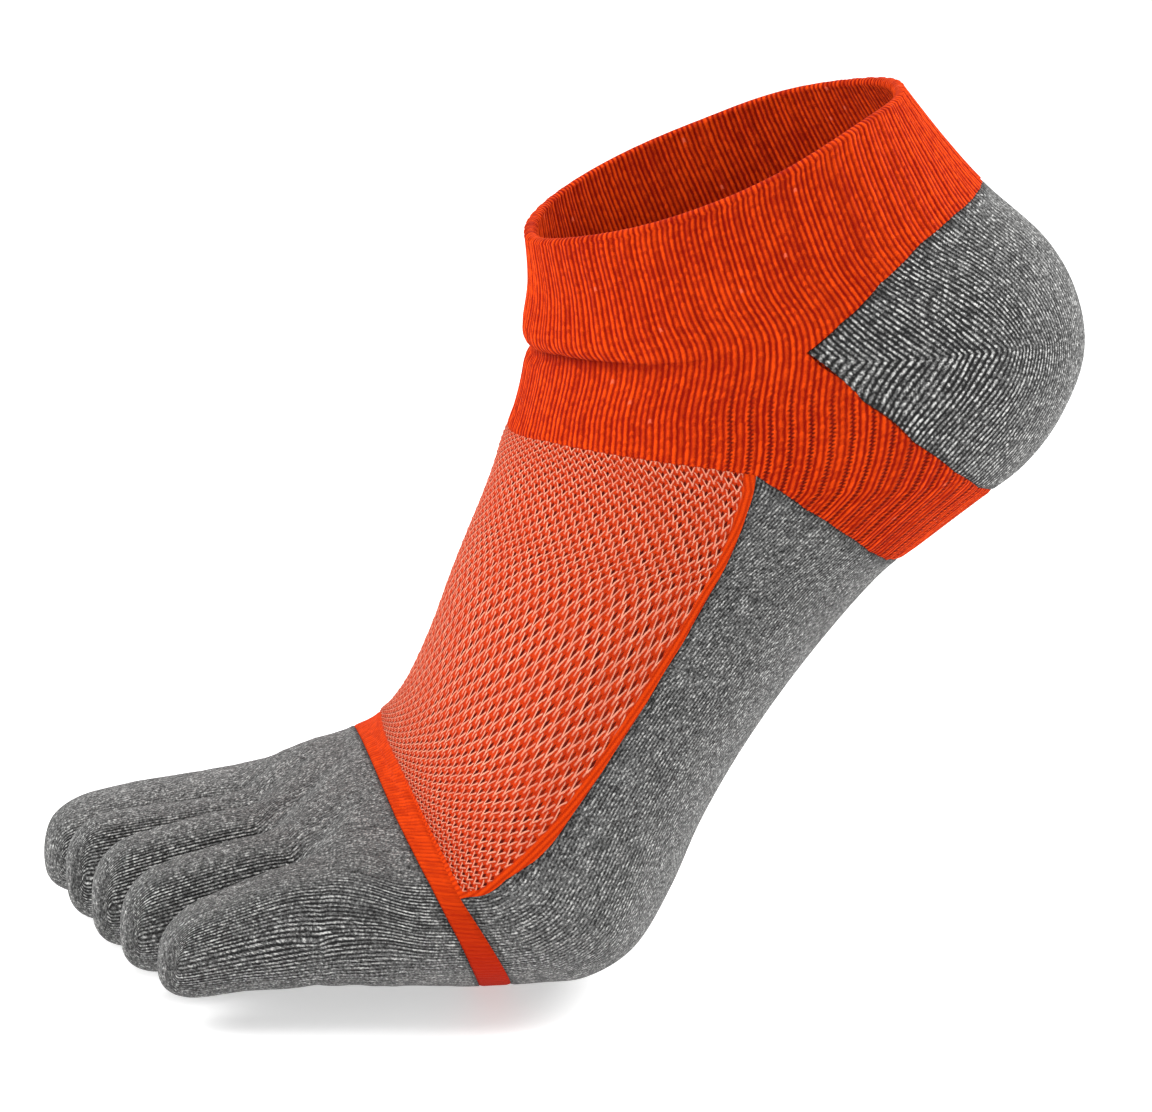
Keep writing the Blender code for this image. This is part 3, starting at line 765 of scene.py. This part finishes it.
# The sole panel: heather grey, thicker underfoot, knitted together with the mesh along its sides.
share = edge_lines(150)[:, None]
side = np.interp(share, MESH_SIDES[:, 0], MESH_SIDES[:, 1])
place, turns = foot_grid(side, 1 - side, share, edge_lines(221)[None, :])
points = foot_skin(place, turns)
dip, rim_gap = seam_dip(points, sides=True)
points -= foot_outward(place, turns) * dip[..., None]
beside_back = np.clip((np.abs(turns - 0.5) - 0.04) / 0.14, 0, 1)
sole = lay_knit("sole_panel_knit", points, wales_at(place, turns), courses_at(place, turns),
                open_knit=0.12 + 0.38 * beside_back, seam_gap=rim_gap)
thicken(sole)
hand_over(sole, heather_material("sole_panel_yarn", 1.0), "heather_grey", "sole_panel")


# The stripe: a plain orange ring of flat knit round the ball of the foot, where the mesh and the
# sole end and the toe section begins.
# a painted shade of the stripe's orange, for its underside
ORANGE_UNDERFOOT_SHADE = (0.31, 0.008, 0.0012, 1)
stripe_yarn, start, places = new_material("stripe_yarn", 0.9, 0.02)
_, _, column, leg, dice, _, fibres = knit_fabric(start)
bright = 0.40 + column * leg * 0.26 + (fibres - 0.5) * 0.55 + (dice - 0.5) * 0.18
colour = bright.smooth(0.0, 0.95).mix(ORANGE_DEEP, ORANGE_LIT)
# painted shade: the stripe turns darker towards its underside
underfoot_shade = 1 - places.axis(2).smooth(-0.152, -0.122)
colour = (underfoot_shade * 0.90).mix(colour, ORANGE_UNDERFOOT_SHADE)
finish_material(stripe_yarn, colour, column * leg * 0.5 + fibres * 0.35, 0.00022)


def flat_relief(lines, place, turns):
    return 0.00003 * np.cos(math.tau * (lines - 0.5)) * np.ones(place.shape)


stripe = ring_cloth("stripe_knit", STRIPE_REAR, STRIPE_FRONT, 20, 6, flat_relief, 2)
hand_over(stripe, stripe_yarn, "plain_orange", "stripe_band")


# The toe section: heather grey from the stripe on, with a pocket for each toe. The pockets are
# knitted on one after the other, so soft creases run back from the webs over the ball of the foot.
TOE_FLOOR = -0.890
TOE_BASE_SQUARE = 2.9
TOE_TIP_SQUARE = 2.5
# far side, near side, base x, tip x, base top, tip top, tip underside, dome: y as shares of
# the width, x and dome of the length, and z of the height
TOE_POCKETS = np.array([
    (0.475, 0.210, -0.465, -0.663, -0.749, -0.797, -0.909, 0.052),
    (0.210, 0.045, -0.459, -0.632, -0.745, -0.779, -0.905, 0.042),
    (0.045, -0.115, -0.444, -0.600, -0.738, -0.788, -0.908, 0.040),
    (-0.115, -0.280, -0.416, -0.566, -0.741, -0.795, -0.908, 0.040),
    (-0.280, -0.465, -0.366, -0.524, -0.742, -0.812, -0.902, 0.042),
])
TOE_TAPER = 0.92         # width at the tip, as a share of that at the base
TOE_WALES = 60           # columns of stitches round one toe
TIP_WALE = 0.00112       # width of one wale over a toe's tip
TOE_VOXEL = 0.00078
WEB_START = 0.88         # share of a toe's half width from which the web is level
TOE_GRID_BACK = -0.22    # start of the foot's grid, in shares of the way from the stripe to the webs
TOE_GRID_ROWS = 55
TOE_GRID_COLUMNS = 360
TOE_MIDDLE_Z = -0.141
# x, and in mm what the far toes' upper side and the near toes' underside rise there
TOE_SAG = np.array([
    (-0.1330, -1.1, 0.0), (-0.1209, -0.8, 0.0), (-0.1143, -0.8, 0.0), (-0.1077, -1.2, 0.0),
    (-0.1011, -1.4, 0.0), (-0.0945, -1.1, 0.2), (-0.0911, -0.4, 0.5), (-0.0878, 0.6, 0.8),
    (-0.0845, 1.5, 0.8), (-0.0812, 1.6, 0.8), (-0.0779, 1.3, 1.0), (-0.0746, 0.5, 1.5),
    (-0.0713, -0.1, 1.0), (-0.0680, 0.0, -0.2), (-0.0640, 0.5, -1.3), (-0.0600, 0.5, -1.7),
    (-0.0570, 0.5, -1.2), (-0.0538, 0.0, -0.6), (-0.0500, 0.0, 0.0),
])
toe_middles = (TOE_POCKETS[:, 0] + TOE_POCKETS[:, 1]) / 2 * SOCK_WIDTH
toe_halves = (TOE_POCKETS[:, 0] - TOE_POCKETS[:, 1]) / 2 * SOCK_WIDTH


def toe_line(y):
    """X of the line across the toe bases."""
    return np.interp(y, toe_middles[::-1], TOE_POCKETS[::-1, 2] * SOCK_LENGTH)


def toe_skin(pocket, along, turn):
    """A toe pocket's outer face, from behind its base, below 0, to its tip, 1."""
    far, near, base_x, tip_x, base_top, tip_top, tip_low, dome = pocket
    along, turn = np.broadcast_arrays(along, turn)
    length = (base_x - tip_x) * SOCK_LENGTH
    straight = 1 - dome * SOCK_LENGTH / length
    bend = np.clip((along - straight) / (1 - straight), 0, 1) * math.pi / 2
    reach = np.where(along < straight, along * length,
                     straight * length + dome * SOCK_LENGTH * np.sin(bend))
    share = np.clip(reach / length, 0, 1)
    half_width = ((far - near) / 2 * SOCK_WIDTH - 0.0002) * (1 + (TOE_TAPER - 1) * share)
    half_width = half_width * np.cos(bend) ** 0.52
    top = (base_top + (tip_top - base_top) * share ** 1.25) * SOCK_HEIGHT
    low = (TOE_FLOOR + (tip_low - TOE_FLOOR) * share ** 2) * SOCK_HEIGHT
    half_height = (top - low) / 2 * np.cos(bend) ** 0.66
    square = TOE_BASE_SQUARE + (TOE_TIP_SQUARE - TOE_BASE_SQUARE) * np.minimum(share * 1.5, 1)
    y = (far + near) / 2 * SOCK_WIDTH - half_width * squared(np.sin(math.tau * turn), square)
    x = base_x * SOCK_LENGTH * share + toe_line(y) * (1 - share) - reach
    z = (top + low) / 2 + half_height * squared(np.cos(math.tau * turn), square)
    return np.stack([x, y, z], axis=-1)


def toe_root_edge(turn):
    """The line over and under the five toe bases where the forefoot ends."""
    middle = (TOE_POCKETS[0, 0] + TOE_POCKETS[-1, 1]) / 2 * SOCK_WIDTH
    reach = (TOE_POCKETS[0, 0] - TOE_POCKETS[-1, 1]) / 2 * SOCK_WIDTH
    across = middle - reach * squared(np.sin(math.tau * turn), TOE_TIP_SQUARE)
    edge = np.stack([toe_line(across) + 0.0009, across, np.zeros(across.shape)], axis=-1)
    webbed = (across < toe_middles[0]) & (across > toe_middles[-1])
    upper = np.where(np.cos(math.tau * turn) > 0, 1, -1)
    for number, pocket in enumerate(TOE_POCKETS):
        offset = np.abs(across - toe_middles[number]) / toe_halves[number]
        mine = offset <= 1
        offset = np.where(webbed, np.minimum(offset, WEB_START), np.minimum(offset, 1))
        height = (1 - offset ** TOE_BASE_SQUARE) ** (1 / TOE_BASE_SQUARE)
        half_height = (pocket[4] - TOE_FLOOR) / 2 * SOCK_HEIGHT
        edge[mine, 2] = ((pocket[4] + TOE_FLOOR) / 2 * SOCK_HEIGHT + upper * height * half_height)[mine]
    return edge


def closed_form(name, points):
    """A closed body over rings of points, for the shape of the toe section alone."""
    form = lay_knit(name, points, np.zeros(points.shape[:2]), 0.0, joined=True)
    bpy.ops.object.mode_set(mode="EDIT")
    bpy.ops.mesh.select_mode(type="EDGE")
    bpy.ops.mesh.select_all(action="DESELECT")
    bpy.ops.mesh.select_non_manifold()
    bpy.ops.mesh.edge_face_add()
    bpy.ops.mesh.select_mode(type="VERT")
    bpy.ops.object.mode_set(mode="OBJECT")
    return form


def front_place(share, turn):
    """The place at a share of the way from the stripe to the webs."""
    start = knit_change(STRIPE_FRONT, turn)
    return start + (LAST_SECTION - start) * share


grid_turns = np.linspace(0, 1, TOE_GRID_COLUMNS + 1)
turns = grid_turns[None, :]
share = np.linspace(TOE_GRID_BACK, 1, TOE_GRID_ROWS + 1)[:, None]
foot_points = foot_skin(front_place(share, turns), turns)
to_webs = toe_root_edge(turns) - foot_skin(LAST_SECTION, turns)
foot_points += to_webs * (np.clip(share, 0, 1) ** 2)[..., None]
forms = [closed_form("toe_section_form", foot_points)]
toe_turns = np.linspace(0, 1, 97)[None, :]
toe_along = np.concatenate([[-0.10], np.linspace(0, 0.75, 16),
                            0.75 + 0.25 * np.sin(np.linspace(0, math.pi / 2, 18)[1:])])
for pocket in TOE_POCKETS:
    forms.append(closed_form("toe_form", toe_skin(pocket, toe_along[:, None], toe_turns)))
bpy.ops.object.select_all(action="DESELECT")
for form in forms:
    form.select_set(True)
toes = forms[0]
bpy.context.view_layer.objects.active = toes
bpy.ops.object.join()
toes.name = toes.data.name = "toe_section_knit"
remesh = toes.modifiers.new("one_skin", "REMESH")
remesh.mode = "VOXEL"
remesh.voxel_size = TOE_VOXEL
bpy.ops.object.modifier_apply(modifier="one_skin")


def tree_of(spots):
    """Finds the nearest of the spots."""
    tree = kdtree.KDTree(len(spots))
    for number, spot in enumerate(spots):
        tree.insert(spot, number)
    tree.balance()
    return tree


# soften the webs and wipe the voxel steps
points = read_all(toes.data.vertices, "co", 3)
edges = read_all(toes.data.edges, "vertices", 2, np.int32)


def even_out(points, weight, rounds):
    """Moves each point towards the middle of its neighbours."""
    degree = np.bincount(edges.reshape(-1), minlength=len(points))[:, None]
    for _ in range(rounds):
        total = np.zeros_like(points)
        for axis in range(3):
            total[:, axis] = (np.bincount(edges[:, 0], points[edges[:, 1], axis], len(points))
                              + np.bincount(edges[:, 1], points[edges[:, 0], axis], len(points)))
        points = points + (total / degree - points) * weight[:, None]
    return points


behind_base = points[:, 0] - toe_line(points[:, 1])
web_weight = np.exp(-((behind_base - 0.001) / 0.008) ** 2) * 0.5
points = even_out(points, np.maximum(web_weight, 0.38), 5)
points = even_out(points, web_weight, 26)

# find each point's place on the foot's grid, between the nearest grid lines
tree = tree_of(foot_points.reshape(-1, 3))
nearest = np.array([tree.find(spot)[1] for spot in points])
grid_row, grid_column = np.divmod(nearest, TOE_GRID_COLUMNS + 1)
along_step = np.gradient(foot_points, axis=0)[grid_row, grid_column]
round_step = (np.roll(foot_points[:, :-1], -1, axis=1) - np.roll(foot_points[:, :-1], 1, axis=1)) / 2
round_step = round_step[grid_row, grid_column % TOE_GRID_COLUMNS]
gap = points - foot_points[grid_row, grid_column]
aa = (along_step ** 2).sum(-1)
rr = (round_step ** 2).sum(-1)
ar = (along_step * round_step).sum(-1)
ga = (gap * along_step).sum(-1)
gr = (gap * round_step).sum(-1)
scale = np.maximum(aa * rr - ar * ar, 1e-16)
row_part = np.clip((ga * rr - gr * ar) / scale, -1, 1)
column_part = np.clip((gr * aa - ga * ar) / scale, -1, 1)
share_here = TOE_GRID_BACK + (grid_row + row_part) * ((1 - TOE_GRID_BACK) / TOE_GRID_ROWS)
turn_here = (grid_column + column_part) / TOE_GRID_COLUMNS
turn_here = turn_here + (turn_here < 0) - (turn_here > 1)

# the toes sag a little here and there, as in an empty sock
above_middle = (points[:, 2] - TOE_MIDDLE_Z) / 0.006
over = np.clip(above_middle, 0, 1) * np.clip((points[:, 1] - 0.002) / 0.014, 0, 1)
under = np.clip(-above_middle, 0, 1) * np.clip((-points[:, 1] - 0.008) / 0.018, 0, 1)
points[:, 2] += (over * np.interp(points[:, 0], TOE_SAG[:, 0], TOE_SAG[:, 1])
                 + under * np.interp(points[:, 0], TOE_SAG[:, 0], TOE_SAG[:, 2])) / 1000

# cut the hidden back end off along the stripe's front edge, and draw the cut edge onto that line
stray = (np.linalg.norm(gap, axis=1) > 0.0030) & (behind_base > 0.006)
bpy.ops.object.mode_set(mode="EDIT")
bpy.ops.mesh.select_mode(type="VERT")
bpy.ops.mesh.select_all(action="DESELECT")
bpy.ops.object.mode_set(mode="OBJECT")
toes.data.vertices.foreach_set("co", points.reshape(-1))
toes.data.vertices.foreach_set("select", (share_here < 0) | stray)
note(toes, "share", share_here)
note(toes, "turn", turn_here)
bpy.ops.object.mode_set(mode="EDIT")
bpy.ops.mesh.delete(type="VERT")
bpy.ops.mesh.select_non_manifold()
bpy.ops.object.mode_set(mode="OBJECT")
rim = read_all(toes.data.vertices, "select", kind=bool)
points = read_all(toes.data.vertices, "co", 3)
share_here = read_all(toes.data.attributes["share"].data, "value")
turn_here = read_all(toes.data.attributes["turn"].data, "value")
line_turns = np.linspace(0, 1, 2161)
line_tree = tree_of(foot_skin(knit_change(STRIPE_FRONT, line_turns), line_turns))
share_here[rim] = 0
turn_here[rim] = [line_turns[line_tree.find(spot)[1]] for spot in points[rim]]
place_here = front_place(np.maximum(share_here, 0), turn_here)
near_rim = eased(1 - share_here / 0.14)
points += (foot_skin(place_here, turn_here) - points) * near_rim[:, None]
toes.data.vertices.foreach_set("co", points.reshape(-1))

# stitch counts: the foot's own behind the webs, each pocket's own in front of them. An outer toe
# takes its own over more slowly, because its side runs on from the foot's
corners = read_all(toes.data.loops, "vertex_index", kind=np.int32)
corner_counts = read_all(toes.data.polygons, "loop_total", kind=np.int32)
centres = np.repeat(read_all(toes.data.polygons, "center", 3), corner_counts, axis=0)
toe_of = (centres[:, 1][:, None] < TOE_POCKETS[1:, 0] * SOCK_WIDTH).sum(axis=1)
spot = points[corners]
pocket = TOE_POCKETS[toe_of]
before_toes = spot[:, 0] - toe_line(spot[:, 1])
share_toe = np.clip(-before_toes / ((pocket[:, 2] - pocket[:, 3]) * SOCK_LENGTH), 0, 1)
toe_top = (pocket[:, 4] + (pocket[:, 5] - pocket[:, 4]) * share_toe ** 1.25) * SOCK_HEIGHT
toe_low = (TOE_FLOOR + (pocket[:, 6] - TOE_FLOOR) * share_toe ** 2) * SOCK_HEIGHT
toe_middle_z = (toe_top + toe_low) / 2
upper = centres[:, 2] > toe_middle_z
sideways = (toe_middles[toe_of] - spot[:, 1]) / toe_halves[toe_of]
upward = (spot[:, 2] - toe_middle_z) / ((toe_top - toe_low) / 2)
toe_turn = np.arctan2(squared(sideways, 1.6), squared(upward, 1.6)) / math.tau
# each toe's middle wale, above and below: even, so that the finer knit of both halves is in step
base_wales = wales_at(float(LAST_SECTION), grid_turns)
edge_y = toe_root_edge(grid_turns)[:, 1]
quarter = TOE_GRID_COLUMNS // 4
top_half = np.arange(-quarter, quarter + 1) % TOE_GRID_COLUMNS
low_half = quarter + np.argsort(-edge_y[quarter:3 * quarter + 1])
top_wales = np.interp(-toe_middles, -edge_y[top_half],
                      base_wales[top_half] - WALES * (top_half > quarter))
low_wales = np.interp(-toe_middles, -edge_y[low_half], base_wales[low_half])
top_wales = np.round(top_wales / 2) * 2
low_wales = np.round(low_wales / 2) * 2
top_wales[-1] = base_wales[quarter] - TOE_WALES / 4
low_wales[-1] = base_wales[quarter] + TOE_WALES / 4
top_wales[0] = base_wales[3 * quarter] - WALES + TOE_WALES / 4
low_wales[0] = base_wales[3 * quarter] - TOE_WALES / 4
low_turn = np.where(toe_turn > 0, toe_turn - 0.5, toe_turn + 0.5)
wale_toe = np.where(upper, top_wales[toe_of] + toe_turn * TOE_WALES,
                    low_wales[toe_of] + low_turn * TOE_WALES)
normals = read_all(toes.data.vertices, "normal", 3)
facing = eased((-normals[corners, 0] - 0.25) / 0.45) * (share_toe > 0.35)
over_tip = sideways * toe_halves[toe_of] / TIP_WALE
over_tip = np.where(upper, top_wales[toe_of] + over_tip, low_wales[toe_of] - over_tip)
wale_toe = wale_toe * (1 - facing) + over_tip * facing
foot_wale = wales_at(front_place(np.clip(share_here, 0, 1), turn_here), turn_here)[corners]
foot_wale -= WALES * (upper & (turn_here[corners] > 0.5))
outer_side = np.where(toe_of == 4, sideways, np.where(toe_of == 0, -sideways, 0.0))
reach = 0.0045 + 0.0075 * np.clip(outer_side, 0, 1)
into_toe = eased((reach - before_toes) / (2 * reach))
wale_here = foot_wale * (1 - into_toe) + wale_toe * into_toe
stripe_place = knit_change(STRIPE_FRONT, turn_here)
run = foot_skin(stripe_place, turn_here)[:, 0][corners] - spot[:, 0]
drop = np.where(upper, toe_top - spot[:, 2], spot[:, 2] - toe_low) * facing
course_here = courses_at(stripe_place, turn_here)[corners] + (run * 1.04 + drop) / COURSE
for layer in list(toes.data.uv_layers):
    toes.data.uv_layers.remove(layer)
stitches = toes.data.uv_layers.new(name="knit")
stitches.data.foreach_set("uv", np.stack([wale_here, course_here], axis=-1).reshape(-1))
for name in ("share", "turn"):
    toes.data.attributes.remove(toes.data.attributes[name])
# painted shade in the grooves: the toes' knit shows sharper where the surface faces sideways, and fades
# to an even fuzz on tops, undersides and tips
side_groove_shade = (np.clip((np.abs(normals[:, 1]) - 0.30) / 0.45, 0, 1)
             * np.clip(1 - (normals[:, 2] - 0.45) / 0.35, 0, 1)
             * np.clip(1 + (normals[:, 2] + 0.1) / 0.5, 0, 1)
             * np.clip(1 - (-normals[:, 0] - 0.35) / 0.35, 0, 1))
note(toes, "open_knit", 0.12 + 0.88 * side_groove_shade)
note(toes, "seam_gap", np.clip(share_here, 0, 1) * 0.045)
thicken(toes)
# at the cut edge the wall's inner side follows the foot, whichever way a sliver of a face there lies
walls = read_all(toes.data.vertices, "co", 3)
at_edge = np.flatnonzero(share_here < 0.06)
inward = foot_outward(place_here[at_edge], turn_here[at_edge]) * -WALL
walls[len(walls) // 2 + at_edge] = walls[at_edge] + inward
toes.data.vertices.foreach_set("co", walls.reshape(-1))
toes.data.update()
bpy.ops.object.shade_smooth()
hand_over(toes, heather_material("toe_section_yarn", 1.0), "heather_grey", "forefoot", "toe_big",
          "toe_second", "toe_third", "toe_fourth", "toe_little")
